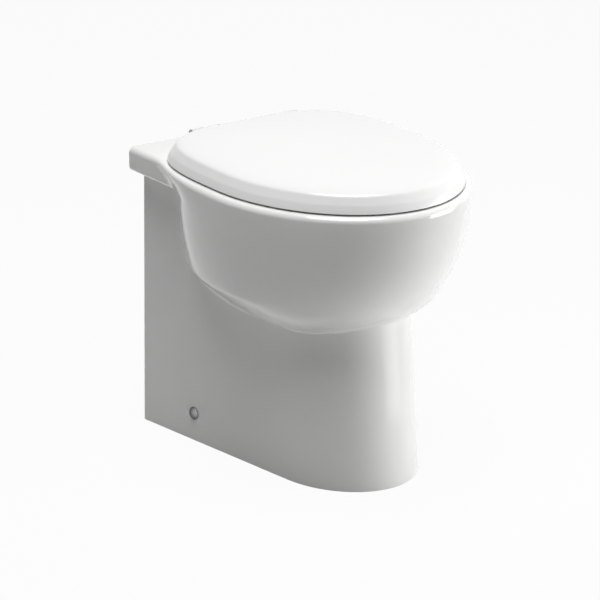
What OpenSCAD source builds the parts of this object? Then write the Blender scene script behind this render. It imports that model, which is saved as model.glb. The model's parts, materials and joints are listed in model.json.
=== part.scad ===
// Back to wall toilet: vitreous china pan, wrap-over seat and lid on a soft-close hinge,
// and the hardware that holds the seat to the pan and the pan to the floor.
// Origin: on the floor, in the middle of the pan's width and projection.
// +Z is up, the front of the pan faces -Y, and the finished wall is the plane of its back face.

/* [Pan] */
// Width of the pan across the rim
pan_w = 358; // [345:1:372]
// Projection of the pan from the wall to the front of the rim
pan_l = 467; // [460:1:480]
// Height of the rim above the floor
pan_h = 400; // [390:1:450]
// Distance from the wall to the widest part of the bowl
widest_d = 241; // [230:1:252]
// Length of the bowl's round back, from its widest part towards the wall
bowl_back = 212; // [205:1:218]
// Height of the bowl from its underside to the start of its rounding
bowl_depth = 179; // [170:1:188]
// How far each side of the bowl draws in on the way down
side_draw = 55; // [50:1:62]
// How far the front of the bowl draws in on the way down
front_draw = 130; // [120:1:140]
// Height of the upright band between the rim and the start of the rounding
rim_band = 9.5; // [8.5:0.5:14]
// Radius of the rim's outer top edge
rim_edge_r = 8; // [5:0.5:10]
// Thickness of the china walls
china_t = 12; // [9:0.5:14]

/* [Shelf and plinth] */
// Width of the shelf behind the bowl
shelf_w = 307; // [296:1:316]
// Height of the shelf's side face
shelf_side_h = 34; // [28:1:40]
// Thickness of the shelf that the seat is bolted to
shelf_t = 16; // [13:0.5:20]
// Width of the plinth at the floor, by the wall
plinth_w = 275; // [268:1:282]
// Projection of the plinth at the floor
plinth_l = 400.5; // [390:0.5:406]
// Half width of the plinth's round nose at the floor
nose_w = 100; // [96:0.5:104]
// How much each side of the plinth closes in over a millimetre towards the front
side_taper = 0.132; // [0.11:0.001:0.15]
// Inward lean of the sides over a millimetre of height
side_lean = 0.02; // [0:0.001:0.03]
// Backward lean of the nose over a millimetre of height
nose_lean = 0.1; // [0.05:0.005:0.12]
// Height where the nose stops leaning and runs in under the bowl
nose_top = 200; // [180:1:220]

/* [Bowl and waterways] */
// Width of the opening inside the rim
mouth_w = 266; // [250:1:280]
// Distance from the wall to the back of the opening
mouth_back_d = 118; // [114:1:124]
// Width of the rim's top at the front
rim_w = 45; // [40:1:52]
// Height of the rim's inner lip
lip_h = 40; // [32:1:46]
// Radius of the outside of the outlet spigot
outlet_r = 51; // [50:0.5:52]
// Radius of the outlet's bore
outlet_bore_r = 38; // [35:0.5:39]
// Radius of the passage through the trap
trap_r = 35; // [33:0.5:36]
// Height of the middle of the outlet above the floor
outlet_h = 180; // [175:1:190]
// Distance from the wall to the end of the outlet spigot
outlet_d = 60; // [50:1:75]
// Height of the overflow point of the trap, which sets the water level
weir_h = 147; // [144:1:150]
// Radius of the flush inlet bore
inlet_r = 28; // [27:0.5:30]
// Height of the middle of the flush inlet above the floor
inlet_h = 334; // [325:1:338]
// Distance from the wall to the mouth of the flush inlet
inlet_d = 45; // [35:1:55]

/* [Seat and lid] */
// Gap between the china and the lower edge of the lid
lid_gap = 2; // [1.5:0.1:3]
// Margin of rim that shows outside the lid at its sides
lid_margin = 10.2; // [8:0.1:13]
// Distance from the wall to the front of the lid
lid_front_d = 457.5; // [445:0.5:462]
// Distance from the wall to the back of the lid's lower edge
lid_back_d = 36; // [33:0.5:39]
// Height of the lid's sloping side
lid_side_h = 22; // [20:0.5:25]
// How far the lid's side leans in up to its crease
lid_side_in = 11.6; // [9:0.1:13]
// Rise of the lid's top above its crease
lid_crown = 8.3; // [6:0.1:10]
// Thickness of the lid's shell
lid_t = 4; // [3:0.1:5]
// Clearance between the seat ring and the inside of the lid
seat_clear = 2.2; // [1.5:0.1:3]
// How much shorter the seat ring's round back is than the lid's, for the swing of the lid's side
seat_back_in = 10; // [8:0.5:14]
// Height of the buffers under the seat ring
seat_buffer_h = 5; // [4:0.5:6]
// Thickness of the seat ring at its outer edge
seat_t = 12.5; // [11:0.5:13.5]
// Width of the hole in the seat ring
seat_hole_w = 222; // [210:1:235]
// Distance from the wall to the back of the hole in the seat ring
seat_hole_back_d = 134; // [128:1:142]
// Distance from the wall to the front of the hole in the seat ring
seat_hole_front_d = 404; // [395:1:412]

/* [Hinge] */
// Distance between the two seat fixings
fixing_span = 155; // [140:1:170]
// Distance from the wall to the seat fixings and the hinge axis
hinge_d = 52; // [50:0.5:55]
// Height of the hinge axis above the rim
hinge_rise = 18; // [17.5:0.1:19]
// Radius of the hinge barrels
barrel_r = 7.5; // [7:0.1:7.8]
// Radius of the hinge pins
pin_r = 3; // [2.5:0.1:3.2]
// Length of each lug barrel on the seat and on the lid
lug_l = 24; // [20:0.5:28]
// Width of the hinge post
post_w = 17; // [14:0.5:18]
// Side gap between neighbouring hinge barrels
barrel_gap = 0.5; // [0.3:0.1:0.8]
// Radial clearance of the bushes on the hinge pins
pin_clear = 0.05; // [0.02:0.01:0.1]
// Radius of the seat fixing bolts
bolt_r = 4; // [3:0.1:4.5]
// Radius of the seat fixing holes in the china
bolt_hole_r = 7; // [6:0.1:8]

/* [Floor fixings] */
// Distance from the wall to the side fixing screws
fixing_d = 106; // [95:1:120]
// Height of the side fixing screws above the floor
fixing_h = 40; // [34:1:55]
// Radius of the holes through the sides of the plinth
fixing_hole_r = 5; // [4:0.1:6]
// Radius of the side fixing screws
screw_r = 3; // [2.5:0.1:3.5]
// Radius of the domed cover caps
cap_r = 9; // [8:0.1:11]
// Height of the domed cover caps
cap_h = 5.5; // [5:0.1:7]
// Radius of the floor screw holes in the brackets
bracket_hole_r = 3.5; // [3:0.1:4.5]

/* [Hidden] */
$fn = 48;

eps = 0.02;               // slack between pieces that are pushed together
seat_slack = 0.3;         // slack where a piece rests on a curved neighbour
wall_y = pan_l / 2;       // the finished wall
centre_y = wall_y - widest_d;
far = 1000;               // beyond everything

// Colours
china = [0.95, 0.95, 0.94];
thermoset = [0.97, 0.97, 0.97];
nylon = [0.93, 0.93, 0.92];
grey_rubber = [0.55, 0.55, 0.55];
steel = [0.72, 0.72, 0.74];
chrome = [0.82, 0.83, 0.85];
galvanised = [0.66, 0.68, 0.69];

// ---- outlines -------------------------------------------------------------
// Every outline is a radius around the widest part of the bowl. The direction
// has s to the side and c to the front, so a full turn starts at the front.

// Blended larger of two radii, with a fillet over the width k
function blend_max(a, b, k) = max(a, b) + pow(max(k - abs(a - b), 0), 2) / (4 * k);

// Closed egg: half width a, reach f to the front and b to the back, with their own roundness
function egg_r(s, c, a, f, b, nf, nb) =
    let (n = c >= 0 ? nf : nb, e = c >= 0 ? f : b)
    pow(pow(abs(s) / a, n) + pow(abs(c) / e, n), -1 / n);

// Radius at which the direction meets the plane d from the wall, behind the centre
function wall_r(c, d) = c < 0 ? (widest_d - d) / -c : far;

// A ring of points at height z, from a function of direction. The list of angles runs from
// the front round one side to the back.
function ring(z, angles, r) =
    let (n = len(angles) - 1)
    [for (k = [0 : 2 * n - 1])
        let (t = k <= n ? angles[k] : 360 - angles[2 * n - k], q = r(abs(sin(t)), cos(t)))
        [q * sin(t), centre_y - q * cos(t), z]];

// Even steps where there is no corner
round_n = 22;
round_turns = [for (k = [0 : round_n]) 180 * k / round_n];

// Steps with a point on the corner angle, closer together where the bowl meets the plinth
front_n = 11;
rear_n = 13;
front_turn = 92;
back_n = 3;
function corner_turns(corner) = concat(
    [for (k = [0 : front_n - 1]) front_turn * k / front_n],
    [for (k = [0 : rear_n - 1]) front_turn + (corner - front_turn) * k / rear_n],
    [for (k = [0 : back_n]) corner + (180 - corner) * k / back_n]);

// Closed solid through a stack of rings, from the lowest to the highest
module skin(rings) {
    n = len(rings[0]);
    m = len(rings);
    polyhedron(
        points = [for (r = rings, p = r) p],
        faces = concat(
            [[for (k = [0 : n - 1]) k]],
            [[for (k = [n - 1 : -1 : 0]) (m - 1) * n + k]],
            [for (i = [0 : m - 2], k = [0 : n - 1])
                let (a = i * n + k, b = i * n + (k + 1) % n)
                each [[a, a + n, b + n], [a, b + n, b]]]));
}

// ---- pan: outside ---------------------------------------------------------
plinth_half = plinth_w / 2;
// the nose is half an ellipse that the straight sides run into
nose_d = (plinth_half - 1.014 * nose_w) / side_taper;
nose_len = plinth_l - nose_d;
bowl_front = pan_l - widest_d;
shelf_bottom = pan_h - shelf_side_h;
shelf_corner_r = 7;
shelf_under = 1.75;       // the shelf's underside runs out this far over a millimetre of height
rim_roundness = 3.3;      // squareness of the rim's back half
bowl_roundness = 2.15;    // and of the bowl below it
bowl_curve = 1.73;        // fullness of the bowl's profile at the front, 2 for an ellipse
bowl_side_curve = 2;      // and at the sides
rim_blend_h = 45;         // height over which one turns into the other
ledge_h = 266;            // where the bowl's side turns in under a soft crease
ledge_slope = 0.62;       // how far it goes in over a millimetre of height
ledge_soft = 6;
ledge_squareness = 0.025; // how much squarer the front gets with each millimetre of that
plinth_fillet = 6;
shelf_fillet = 24;        // at the rim
shelf_fillet_low = 9;     // and under the shelf
shelf_fade = 15;          // how far under its edge the shelf still blends in

function lerp(a, b, t) = a + (b - a) * min(max(t, 0), 1);

// Half width of the plinth at the wall, and its nose, at height z, all drawn in by i
function plinth_r(s, c, z, i) =
    let (half = plinth_half - side_lean * z - i,
         w = nose_w - side_lean * z - i,
         e = nose_len - nose_lean * min(z, nose_top) - i,
         off = widest_d - nose_d,
         qa = pow(s / w, 2) + pow(c / e, 2),
         qb = c * off / pow(e, 2),
         qc = pow(off / e, 2) - 1,
         nose = (-qb + sqrt(qb * qb - qa * qc)) / qa,
         slope = s + side_taper * c,
         side = slope > 0.01 ? (half - side_taper * widest_d) / slope : far,
         meet = nose_d + side_taper * e * e / sqrt(w * w + pow(side_taper * e, 2)))
    min(widest_d + nose * c >= meet ? nose : side, wall_r(c, i < china_t ? 0 : -1));

// Share of the bowl's draw-in that is reached at height z, 1 at its underside
bowl_low = pan_h - rim_band - bowl_depth;
function bowl_in(z, curve) =
    let (u = min(max((pan_h - rim_band - z) / bowl_depth, 0), 1))
    1 - pow(1 - pow(u, curve), 1 / curve);
function ledge_in(z) =
    let (d = max(ledge_h - z, 0))
    ledge_slope * (d < ledge_soft ? d * d / (2 * ledge_soft) : d - ledge_soft / 2);
function bowl_half(z) = pan_w / 2 - side_draw * bowl_in(z, bowl_side_curve) - ledge_in(z);
function bowl_reach(z) = bowl_front - front_draw * bowl_in(z, bowl_curve);

function bowl_r(s, c, z, i) =
    let (nb = lerp(bowl_roundness, rim_roundness, pow(max(z - (pan_h - rim_blend_h), 0) / rim_blend_h, 2)))
    egg_r(s, c, bowl_half(z) - i, bowl_reach(z) - i, bowl_back - i, 2 + ledge_squareness * ledge_in(z), nb);

// Below the bowl the plinth starts with a hollow fillet of radius under_r
under_r = 7;
function under_fillet(z) =
    let (t = (bowl_low - z) / under_r)
    t >= 1 ? 0 : under_r * (1 - sqrt(1 - pow(1 - t, 2)));

// Half width of the shelf at height z
function shelf_half(z) =
    let (t = (z - shelf_bottom) / shelf_corner_r, full = shelf_w / 2)
    t >= 1 ? full
    : t >= 0 ? full - shelf_corner_r * (1 - sqrt(1 - pow(1 - t, 2)))
    : full - shelf_corner_r + shelf_under * (z - shelf_bottom);

function shelf_r(s, c, z, i) = c >= 0 ? 0 : s > 0.01 ? (shelf_half(z) - i) / s : far;

function outside_r(s, c, z, i) =
    let (back = wall_r(c, min(i, back_edge)),
         plinth = plinth_r(s, c, z, i),
         bowl = min(bowl_r(s, c, max(z, bowl_low), i), back),
         low = z >= bowl_low ? blend_max(plinth, bowl, plinth_fillet)
             : plinth + min(under_fillet(z), max(bowl - plinth, 0)),
         shelf = shelf_half(z) > plinth_half - side_lean * z - 1 ? min(shelf_r(s, c, z, i), back) : 0,
         turn = lerp(shelf_fillet_low, shelf_fillet, (z - shelf_bottom) / shelf_side_h),
         r = z > shelf_bottom - shelf_fade ? blend_max(low, shelf, turn) : low)
    min(r, back);

function outside_corner(z, i) =
    let (w = max(plinth_half - side_lean * z, shelf_half(z)) - i)
    180 - atan(w / (widest_d - min(i, back_edge)));

function outside_ring(z, i) =
    ring(z, corner_turns(outside_corner(z, i)), function(s, c) outside_r(s, c, z, i));

foot_r = 2;
back_edge = 1;            // the edges along the wall are nearly sharp
edge_steps = [0, 30, 60, 90];
outside_heights = concat(
    [60, 130],
    [for (t = [1, 0.6, 0.25, 0]) bowl_low - under_r * t],
    [for (t = [0.001, 0.015, 0.05, 0.1, 0.17, 0.26, 0.38, 0.52, 0.68]) bowl_low + bowl_depth * t],
    [for (dz = [-12, -6, 0, 2, shelf_corner_r, shelf_side_h / 2]) shelf_bottom + dz]);

module outside() {
    skin(concat(
        [outside_ring(0, foot_r), outside_ring(foot_r, 0)],
        [for (z = outside_heights) outside_ring(z, 0)],
        [for (a = edge_steps)
            outside_ring(pan_h - rim_edge_r * (1 - sin(a)), rim_edge_r * (1 - cos(a)))]));
}

// ---- pan: bowl, waterways and back opening --------------------------------
mouth_front = pan_l - rim_w - widest_d;
mouth_back = widest_d - mouth_back_d;
lip_t = 12;
rim_roof = pan_h - shelf_t;

function mouth_ring(z, i) =
    ring(z, round_turns, function(s, c)
        egg_r(s, c, mouth_w / 2 + i, mouth_front + i, mouth_back + i, 2, 2.4));

// Inside of the bowl: [height, half width, reach to the front, reach to the back, shift to the back]
bowl_wall_back = mouth_back + lip_t + 9;
sump_h = 26;
// The upper bowl lies one wall inside the outer form, and in a further e
function bowl_row(z, e, back) =
    [z, bowl_half(z) - china_t - e, bowl_reach(z) - china_t - e, back, 0];
bowl_inside = [
    [sump_h, 20, 20, 20, 14],
    [sump_h + 9, 34, 34, 34, 13],
    [sump_h + 36, 42, 42, 40, 8],
    [weir_h - 39, 50, 52, 40, 4],
    [weir_h, 62, 76, 55, -4],
    [weir_h + 24, 74, 94, 56, -4],
    [weir_h + 51, 84, 112, 57, -3],
    [weir_h + 81, 100, 126, 76, -2],
    bowl_row(weir_h + 117, 8, bowl_wall_back - 28),
    bowl_row(weir_h + 155, 3, bowl_wall_back - 11),
    bowl_row(weir_h + 193, 1, bowl_wall_back - 3),
    bowl_row(rim_roof - 6, 0, bowl_wall_back)];

function bowl_ring(b, out, down) =
    [for (p = ring(b[0] - down, round_turns,
            function(s, c) egg_r(s, c, b[1] + out, b[2] + out, b[3] + out, 2, 2.3)))
        p + [0, b[4], 0]];

module bowl_space() {
    skin(concat(
        [for (b = bowl_inside) bowl_ring(b, 0, 0)],
        [bowl_ring(bowl_row(rim_roof, 5, bowl_wall_back - 5), 0, 0),
         mouth_ring(rim_roof, lip_t), mouth_ring(pan_h - lip_h + 4, lip_t),
         mouth_ring(pan_h - lip_h, lip_t - 4), mouth_ring(pan_h - lip_h, 4),
         mouth_ring(pan_h - lip_h + 4, 0), mouth_ring(pan_h - 9, 0),
         mouth_ring(pan_h - 2.6, 2.4), mouth_ring(pan_h, 9), mouth_ring(pan_h + 1, 10)]));
}

// The china around the bowl, where it stands inside the hollow plinth
module bowl_shell() {
    skin([for (b = bowl_inside) bowl_ring(b, china_t, b[0] == sump_h ? china_t : china_t * 0.45)]);
}

// The outlet's spigot, the passage behind it, and the flush inlet
spigot_l = 46;              // the round end of the outlet
spigot_lap = 4;             // how far the cast run laps over it
cast_play = 1.5;            // how much wider the cast passage is than the bore
bore_l = spigot_l + 19;     // the bore ends inside the cast passage
boss_more = 4;              // how much thicker the china is behind the spigot
boss_end_d = 6;             // and how far it stops before the crown
inlet_wall = 9;             // china round the flush inlet
inlet_l = 20;
limb_low = sump_h + trap_r - 1;
crown_d = widest_d - 99;
crown_h = outlet_h;
// Middle line of the trap's rising limb, from the sump to the crown: [distance from the wall, height]
limb_line = [
    [crown_d + 77, limb_low],
    [crown_d + 62, limb_low],
    [crown_d + 40, limb_low + 6],
    [crown_d + 22, limb_low + 22],
    [crown_d + 11, limb_low + 46],
    [crown_d + 6, limb_low + 74],
    [crown_d + 2, crown_h - 26],
    [crown_d, crown_h]];
trap_n = 24;

// A tube of radius r along a line of [distance from the wall, height] in the middle plane
module tube(line, r) {
    last = len(line) - 1;
    skin([for (i = [0 : last])
        let (v = line[min(i + 1, last)] - line[max(i - 1, 0)], across = [v[1], -v[0]] / norm(v))
        [for (k = [0 : trap_n - 1])
            let (t = 360 * (k + 0.5) / trap_n)
            [r * sin(t), wall_y - line[i][0] - across[0] * r * cos(t), line[i][1] + across[1] * r * cos(t)]]]);
}

// Round run of radius r towards the wall, between two distances from it
module outlet_run(from_d, to_d, r) {
    translate([0, wall_y - from_d, outlet_h]) rotate([90, 0, 0])
        cylinder(r = r, h = to_d - from_d, $fn = trap_n);
}

module trap(r) {
    tube(limb_line, r);
    translate([0, wall_y - crown_d, crown_h]) sphere(r = r + 1, $fn = trap_n);
}

// Space inside the plinth, open at the floor and at the wall
hollow_top = pan_h - shelf_t;
function hollow_ring(z) =
    ring(z, corner_turns(180 - atan((plinth_half - side_lean * z - china_t) / (widest_d + 1))),
        function(s, c) plinth_r(s, c, z, china_t));

module hollow() {
    difference() {
        skin([for (z = [-1, 100, nose_top, hollow_top]) hollow_ring(z)]);
        bowl_shell();
        trap(trap_r + china_t - 1);
        outlet_run(outlet_d + spigot_l - spigot_lap, crown_d - boss_end_d, outlet_r + boss_more);
        translate([0, wall_y - inlet_d, inlet_h]) rotate([90, 0, 0])
            cylinder(r = inlet_r + inlet_wall, h = mouth_back_d - inlet_d);
        // above the bowl's fall, the front of the space stops behind the bowl's back wall
        translate([-far / 2, wall_y - widest_d + bowl_wall_back + china_t - far, weir_h + 110])
            cube([far, far, far]);
    }
}

module casting() {
    resize([pan_w, pan_l, pan_h]) {
        difference() {
            outside();
            bowl_space();
            hollow();
            trap(trap_r);
            outlet_run(outlet_d + spigot_l + spigot_lap, crown_d, outlet_bore_r + cast_play);
        }
    }
}

// ---- places of the fittings -----------------------------------------------
hinge_y = wall_y - hinge_d;
hinge_z = pan_h + hinge_rise;
fixing_x = fixing_span / 2;
fixing_angle = atan(side_taper);
function plinth_side(d, z) = plinth_half - side_lean * z - side_taper * d;
fixing_side_x = plinth_side(fixing_d, fixing_h);

// Puts children at the seat fixing on side s, at the rim's height
module at_seat_fixing(s) { translate([s * fixing_x, hinge_y, pan_h]) children(); }

// Puts children on the plinth's side s, with their own +Z pointing out of the china. They
// stand level, so they keep a little off the leaning side.
module at_side_fixing(s) {
    translate([s * (fixing_side_x + seat_slack), wall_y - fixing_d, fixing_h])
        rotate([0, 0, -s * fixing_angle]) rotate([0, s * 90, 0]) children();
}

module pan() color(china) {
    difference() {
        union() {
            casting();
            translate([0, wall_y - outlet_d, outlet_h]) rotate([90, 0, 0])
                cylinder(r = outlet_r, h = spigot_l);
            translate([0, wall_y - inlet_d, inlet_h]) rotate([90, 0, 0])
                cylinder(r = inlet_r + inlet_wall, h = inlet_l);
        }
        translate([0, wall_y - outlet_d + 1, outlet_h]) rotate([90, 0, 0])
            cylinder(r = outlet_bore_r, h = bore_l);
        translate([0, wall_y - inlet_d + 1, inlet_h]) rotate([90, 0, 0])
            cylinder(r = inlet_r, h = mouth_back_d - lip_t - inlet_d + 3);
        for (s = [-1, 1]) {
            at_seat_fixing(s) translate([0, 0, -shelf_t - 1])
                cylinder(r = bolt_hole_r, h = shelf_t + 2);
            at_side_fixing(s) translate([0, 0, -china_t - 3])
                cylinder(r = fixing_hole_r, h = china_t + 6);
        }
    }
}

// ---- lid and seat ring ----------------------------------------------------
lid_half = pan_w / 2 - lid_margin;
lid_front = lid_front_d - widest_d;
lid_back = widest_d - lid_back_d;
lid_low = pan_h + lid_gap;
lid_crease = lid_low + lid_side_h;
lid_roundness = 3.4;

function lid_ring(z, i) =
    ring(z, round_turns, function(s, c)
        egg_r(s, c, lid_half - i, lid_front - i, lid_back - i, 2, lid_roundness));

// Lean of the lid's side at height z
function lid_in(z) = lid_side_in * (z - lid_low) / lid_side_h;

// The crown: [distance in from the crease, share of the rise]
crown_steps = [[3, 0.18], [10, 0.42], [28, 0.7], [60, 0.9], [110, 1]];

module lid_form(t) {
    skin(concat(
        t == 0 ? [lid_ring(lid_low, lid_in(lid_low) + 1), lid_ring(lid_low + 1.5, lid_in(lid_low))]
            : [lid_ring(lid_low - 1, lid_in(lid_low) + t)],
        [lid_ring(lid_low + 11 - t / 2, lid_in(lid_low + 11) * 0.75 + t),
         lid_ring(lid_crease - 4 - t / 2, lid_in(lid_crease - 4) * 0.95 + t),
         lid_ring(lid_crease - t, lid_side_in + t)],
        [for (c = crown_steps) lid_ring(lid_crease + lid_crown * c[1] - t, lid_side_in + c[0] + t)]));
}

// A barrel along the hinge axis, from x = a to b
module along_axis(a, b, r) {
    translate([a, hinge_y, hinge_z]) rotate([0, 90, 0]) cylinder(r = r, h = b - a);
}

// Barrels from the post inwards: the post, the seat's lug, the lid's lug
post_in = fixing_x - post_w / 2;
post_out = fixing_x + post_w / 2;
seat_lug_out = post_in - barrel_gap;
seat_lug_in = seat_lug_out - lug_l;
lid_lug_out = seat_lug_in - barrel_gap;
lid_lug_in = lid_lug_out - lug_l;
bush_r = barrel_r - 2;
shelf_clear = 0.8;        // clearance over the shelf of what turns behind the hinge axis
plate_r = 16;
lug_clear = 1.6;          // clearance of the lid round the hinge barrels

module both() { children(); mirror([1, 0, 0]) children(); }

// A block in front of the hinge axis that joins a lug to its panel
module lug_web(a, b, low, high, reach) {
    translate([a, hinge_y - reach, low]) cube([b - a, reach, high - low]);
}

module lid() color(thermoset) {
    difference() {
        union() {
            difference() {
                lid_form(0);
                lid_form(lid_t);
            }
            both() {
                along_axis(lid_lug_in, lid_lug_out, barrel_r);
                lug_web(lid_lug_in, lid_lug_out, hinge_z + 1, lid_crease + 1, 16);
            }
        }
        // what lies behind the hinge axis keeps clear of the shelf as the lid turns
        difference() {
            translate([-far / 2, hinge_y, lid_low - 2]) cube([far, far, 60]);
            along_axis(-far / 2, far / 2, hinge_rise - shelf_clear);
        }
        both() {
            translate([lid_lug_out + barrel_gap / 2, hinge_y - barrel_r - lug_clear, lid_low - 2])
                cube([fixing_x + plate_r + 1 - lid_lug_out, far, 60]);
            along_axis(lid_lug_in - 1, lid_lug_out + 1, bush_r + eps);
        }
    }
}

ring_low = pan_h + seat_buffer_h;
ring_high = ring_low + seat_t;
ring_back_d = hinge_d + hinge_rise;   // straight, ahead of what turns round the hinge
ring_dish = 5;            // the seat falls this much towards its hole
seat_hole_half = seat_hole_w / 2;
seat_hole_front = seat_hole_front_d - widest_d;
seat_hole_back = widest_d - seat_hole_back_d;

function seat_ring_outline(z, i) =
    let (d = lid_in(z) + lid_t + seat_clear + i)
    ring(z, round_turns, function(s, c)
        egg_r(s, c, lid_half - d, lid_front - d, lid_back - d - seat_back_in, 2, lid_roundness));
function seat_hole_ring(z, i) =
    ring(z, round_turns, function(s, c)
        egg_r(s, c, seat_hole_half + i, seat_hole_front + i, seat_hole_back + i, 2, 2.4));

module seat_ring() color(thermoset) {
    difference() {
        union() {
            difference() {
                skin([seat_ring_outline(ring_low, 2), seat_ring_outline(ring_low + 2, 0),
                    seat_ring_outline(ring_high - 3, 0.5), seat_ring_outline(ring_high - 0.8, 2.5),
                    seat_ring_outline(ring_high, 6)]);
                // the hole, and the dished top around it
                skin([seat_hole_ring(ring_low - 1, 3), seat_hole_ring(ring_low + 2.5, 0),
                    seat_hole_ring(ring_high - ring_dish - 2, 0.5),
                    seat_hole_ring(ring_high - ring_dish, 4),
                    seat_hole_ring(ring_high - 1.5, 22), seat_hole_ring(ring_high, 38),
                    seat_hole_ring(ring_high + 2, 60)]);
                // the straight back edge in front of the hinge
                translate([-far / 2, wall_y - ring_back_d, ring_low - 2]) cube([far, far, 60]);
            }
            both() {
                along_axis(seat_lug_in, seat_lug_out, barrel_r);
                lug_web(seat_lug_in, seat_lug_out, hinge_z - barrel_r, ring_high, hinge_rise + 4);
            }
        }
        both() along_axis(seat_lug_in - 1, seat_lug_out + 1, bush_r + eps);
    }
}

// ---- buffers --------------------------------------------------------------
buffer_w = 14;
buffer_l = 26;
lid_buffer_w = 10;
lid_buffer_l = 20;
seat_buffer_spots = [[118, 170], [96, 345]];     // [to the side, from the wall]
lid_buffer_spots = [[60, 411], [144, 200]];

module pad(w, l, h) {
    hull() for (s = [-1, 1])
        translate([0, s * (l - w) / 2, 0]) cylinder(r = w / 2, h = h, $fn = 32);
}

module seat_buffers() color(grey_rubber) {
    both() for (p = seat_buffer_spots)
        translate([p[0], wall_y - p[1], pan_h + seat_slack])
            pad(buffer_w, buffer_l, seat_buffer_h - seat_slack);
}

// They reach up to the curved inside of the lid
module lid_buffers() color(grey_rubber) {
    both() for (p = lid_buffer_spots) intersection() {
        translate([p[0], wall_y - p[1], ring_high + seat_slack])
            pad(lid_buffer_w, lid_buffer_l, lid_crown + lid_crease - ring_high);
        lid_form(lid_t + seat_slack / 2);
    }
}

// ---- hinge hardware -------------------------------------------------------
plate_t = 3;
gasket_t = 1;
stem_low = gasket_t + plate_t;
head_r = 6.5;
head_h = 5.3;

module hinge_post(s) color(nylon) {
    difference() {
        union() {
            translate([s * fixing_x - post_w / 2, hinge_y, hinge_z]) rotate([0, 90, 0])
                cylinder(r = barrel_r, h = post_w);
            translate([s * fixing_x - post_w / 2, hinge_y - barrel_r, pan_h + stem_low])
                cube([post_w, 2 * barrel_r, hinge_rise - stem_low]);
        }
        translate([s * fixing_x - post_w, hinge_y, hinge_z]) rotate([0, 90, 0])
            cylinder(r = pin_r + eps, h = 2 * post_w);
        at_seat_fixing(s) translate([0, 0, stem_low - 1]) cylinder(r = head_r + 0.1, h = head_h + 1.1);
    }
}

module hinge_plate(s) color(nylon) at_seat_fixing(s) translate([0, 0, gasket_t])
    difference() {
        union() {
            cylinder(r = plate_r, h = plate_t - 1.2);
            cylinder(r1 = plate_r, r2 = plate_r - 1.2, h = plate_t);
        }
        translate([0, 0, -1]) cylinder(r = bolt_r + 0.1, h = plate_t + 2);
    }

module plate_gasket(s) color(grey_rubber) at_seat_fixing(s)
    difference() {
        cylinder(r = plate_r - 1, h = gasket_t);
        translate([0, 0, -1]) cylinder(r = bolt_hole_r, h = gasket_t + 2);
    }

module hinge_pin(s) color(steel) {
    a = lid_lug_in + 1;
    translate([s > 0 ? a : -post_out, hinge_y, hinge_z]) rotate([0, 90, 0])
        cylinder(r = pin_r, h = post_out - a);
}

// A sleeve between a lug and the pin: the damper's is longer than the plain bush
module sleeve(a, b) {
    difference() {
        along_axis(a, b, bush_r);
        along_axis(a - 1, b + 1, pin_r + pin_clear);
    }
}

module seat_damper() color(grey_rubber) sleeve(seat_lug_in + 0.5, seat_lug_out - 0.5);
module seat_bush() color(nylon) mirror([1, 0, 0]) sleeve(seat_lug_in + 6, seat_lug_out - 0.5);
module lid_damper() color(grey_rubber) mirror([1, 0, 0]) sleeve(lid_lug_in + 0.5, lid_lug_out - 0.5);
module lid_bush() color(nylon) sleeve(lid_lug_in + 6, lid_lug_out - 0.5);

// ---- seat fixings ---------------------------------------------------------
bush_flange_t = 4;
bush_flange_r = 12;
washer_t = 1.6;
washer_r = 11;
nut_h = 12;
nut_r = 8;
bolt_len = 46;
thread_slack = 0.05;

module seat_bolt(s) color(steel) at_seat_fixing(s) {
    translate([0, 0, stem_low - bolt_len]) cylinder(r = bolt_r, h = bolt_len + 0.5);
    translate([0, 0, stem_low]) cylinder(r = head_r, h = head_h);
}

module seat_bolt_bush(s) color(grey_rubber) at_seat_fixing(s) translate([0, 0, -shelf_t])
    difference() {
        union() {
            translate([0, 0, -bush_flange_t]) cylinder(r = bush_flange_r, h = bush_flange_t);
            cylinder(r = bolt_hole_r - 0.1, h = 9);
        }
        translate([0, 0, -bush_flange_t - 1]) cylinder(r = bolt_r + 0.1, h = 20);
    }

module seat_bolt_washer(s) color(steel) at_seat_fixing(s)
    translate([0, 0, -shelf_t - bush_flange_t - washer_t])
    difference() {
        cylinder(r = washer_r, h = washer_t);
        translate([0, 0, -1]) cylinder(r = bolt_r + 0.1, h = washer_t + 2);
    }

module wing_nut(s) color(nylon) at_seat_fixing(s)
    translate([0, 0, -shelf_t - bush_flange_t - washer_t - nut_h])
    difference() {
        union() {
            cylinder(r = nut_r, h = nut_h);
            translate([-17, -2, 0]) cube([34, 4, nut_h - 1]);
        }
        translate([0, 0, -1]) cylinder(r = bolt_r + thread_slack, h = nut_h + 2);
    }

// ---- floor fixings --------------------------------------------------------
bracket_t = 4;
bracket_w = 36;
bracket_h = 54;
bracket_foot = 42;
screw_len = 30;
screw_head_r = 4.5;
screw_head_h = 2;
sleeve_t = 1.4;

// Steel angle inside the plinth, with its upright flat against the china
module floor_bracket(s) color(galvanised) at_side_fixing(s)
    translate([0, 0, -china_t - 2 * seat_slack - bracket_t])
    difference() {
        // local +Z is out of the china, and local X is down on one side and up on the other
        union() {
            translate([s > 0 ? fixing_h - bracket_h : -fixing_h, -bracket_w / 2, 0])
                cube([bracket_h, bracket_w, bracket_t]);
            translate([s > 0 ? fixing_h - bracket_t : -fixing_h, -bracket_w / 2, -bracket_foot])
                cube([bracket_t, bracket_w, bracket_foot + bracket_t]);
        }
        translate([0, 0, -1]) cylinder(r = screw_r + thread_slack, h = bracket_t + 2);
        translate([s > 0 ? fixing_h - bracket_t - 1 : -fixing_h - 1, 0, -bracket_foot / 2 - 2])
            rotate([0, 90, 0]) cylinder(r = bracket_hole_r, h = bracket_t + 2);
    }

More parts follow.
